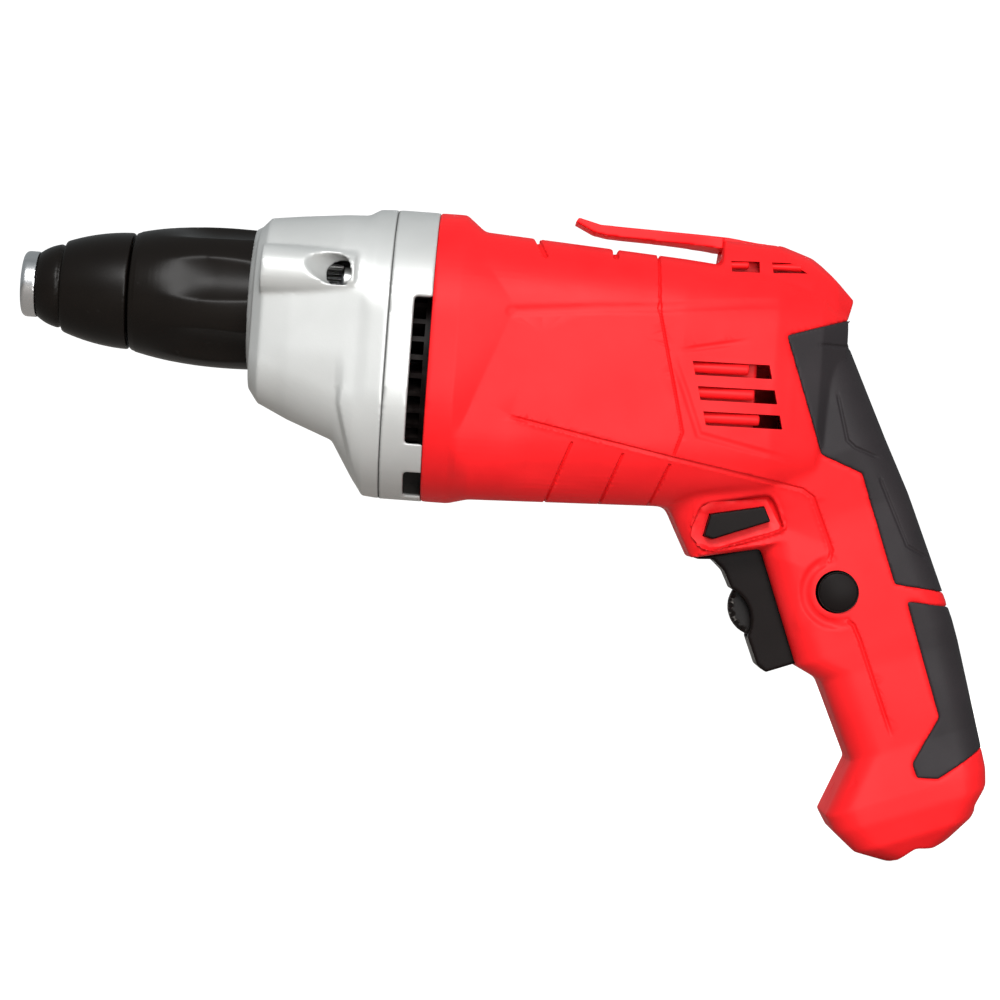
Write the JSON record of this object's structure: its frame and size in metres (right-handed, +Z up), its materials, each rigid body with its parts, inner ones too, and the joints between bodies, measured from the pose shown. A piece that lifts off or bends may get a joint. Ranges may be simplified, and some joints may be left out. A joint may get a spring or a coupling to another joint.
{
  "type": "drywall screwdriver",
  "caption": "Corded pistol-grip drywall screwdriver with a depth-setting nose, cast gearbox, vented motor housing, belt hook, rubber grips, trigger with speed wheel and reversing lever.",
  "frame": {"origin": "centre of the nose tip's front face, on the spindle axis", "axes": "-X forwards out of the nose along the spindle axis, +Z up, handle down, left side towards -Y"},
  "size_m": [0.3016, 0.078, 0.1873],
  "materials": {
    "red_housing": "satin",
    "black_plastic": "matte",
    "rubber": "matte",
    "cast_alloy": "satin",
    "steel": "satin",
    "laminations": "matte",
    "copper": "satin",
    "bronze": "satin",
    "carbon": "matte",
    "capacitor_case": "gloss"
  },
  "bodies": {
    "housing": {"housing_left": "red_housing", "housing_right": "red_housing", "belt_hook": "red_housing", "switch_body": "black_plastic", "cord_inlet": "black_plastic", "upper_grip_left": "rubber", "upper_grip_right": "rubber", "lower_grip_left": "rubber", "lower_grip_right": "rubber", "bearing_sleeve": "rubber", "gearbox_casing": "cast_alloy", "bearing_flange": "cast_alloy", "ring_circlip": "steel", "detent_ball": "steel", "detent_spring": "steel", "thrust_washer": "steel", "gearbox_screws": "steel", "front_bearing_outer": "steel", "front_bearing_balls": "steel", "rear_bearing_outer": "steel", "rear_bearing_balls": "steel", "brush_springs": "steel", "housing_screws": "steel", "trigger_spring": "steel", "lock_spring": "steel", "stator_core": "laminations", "field_coils": "copper", "spindle_bush": "bronze", "gear_bush": "bronze", "brush_holders": "bronze", "carbon_brushes": "carbon", "capacitor": "capacitor_case"},
    "depth_ring": {"depth_ring": "black_plastic"},
    "depth_sleeve": {"depth_sleeve": "bronze"},
    "nosepiece": {"nosepiece": "black_plastic", "nose_tip": "steel", "nose_oring": "rubber"},
    "armature": {"armature_shaft": "steel", "armature_core": "laminations", "armature_winding": "copper", "commutator": "copper", "fan": "black_plastic", "front_bearing_inner": "steel", "rear_bearing_inner": "steel"},
    "clutch_gear": {"clutch_gear": "steel", "clutch_spring": "steel"},
    "spindle": {"spindle": "steel", "bit_holder": "steel", "bit_magnet": "steel", "bit_wire_ring": "steel"},
    "trigger": {"trigger": "black_plastic", "wheel_pin": "steel"},
    "speed_wheel": {"speed_wheel": "black_plastic"},
    "lock_button": {"lock_button": "black_plastic"},
    "direction_lever": {"direction_lever": "black_plastic"}
  },
  "joints": [
    {"name": "depth_turn", "type": "hinge", "parent": "housing", "child": "depth_ring", "pos_m": [0.05, 0, 0], "axis": [-1, 0, 0], "range_deg": [0, 720]},
    {"name": "depth_slide", "type": "slide", "parent": "housing", "child": "depth_sleeve", "axis": [-1, 0, 0], "range_m": [0, 0.005]},
    {"name": "nose_pull", "type": "slide", "parent": "depth_sleeve", "child": "nosepiece", "axis": [-1, 0, 0], "range_m": [0, 0.046]},
    {"name": "armature_spin", "type": "hinge", "parent": "housing", "child": "armature", "pos_m": [0.16, 0, -0.015], "axis": [1, 0, 0], "continuous": true},
    {"name": "gear_spin", "type": "hinge", "parent": "housing", "child": "clutch_gear", "pos_m": [0.09, 0, 0], "axis": [1, 0, 0], "continuous": true},
    {"name": "spindle_press", "type": "slide", "parent": "clutch_gear", "child": "spindle", "axis": [1, 0, 0], "range_m": [0, 0.0035], "stiffness_N_per_m": 1500, "deforming": ["clutch_spring"]},
    {"name": "trigger_pull", "type": "slide", "parent": "housing", "child": "trigger", "axis": [0.9336, 0, 0.3584], "range_m": [0, 0.006], "stiffness_N_per_m": 800, "deforming": ["trigger_spring"]},
    {"name": "wheel_turn", "type": "hinge", "parent": "trigger", "child": "speed_wheel", "pos_m": [0.23029, 0, -0.08184], "axis": [0, 1, 0], "range_deg": [0, 270]},
    {"name": "button_press", "type": "slide", "parent": "housing", "child": "lock_button", "axis": [0, 1, 0], "range_m": [0, 0.003], "stiffness_N_per_m": 500, "deforming": ["lock_spring"]},
    {"name": "lever_slide", "type": "slide", "parent": "housing", "child": "direction_lever", "axis": [0, 1, 0], "range_m": [0, 0.004]}
  ],
  "couplings": [
    {"joint": "depth_slide", "follows": "depth_turn", "m_per_rad": 0.00039788},
    {"joint": "gear_spin", "follows": "armature_spin", "ratio": -0.19048}
  ]
}
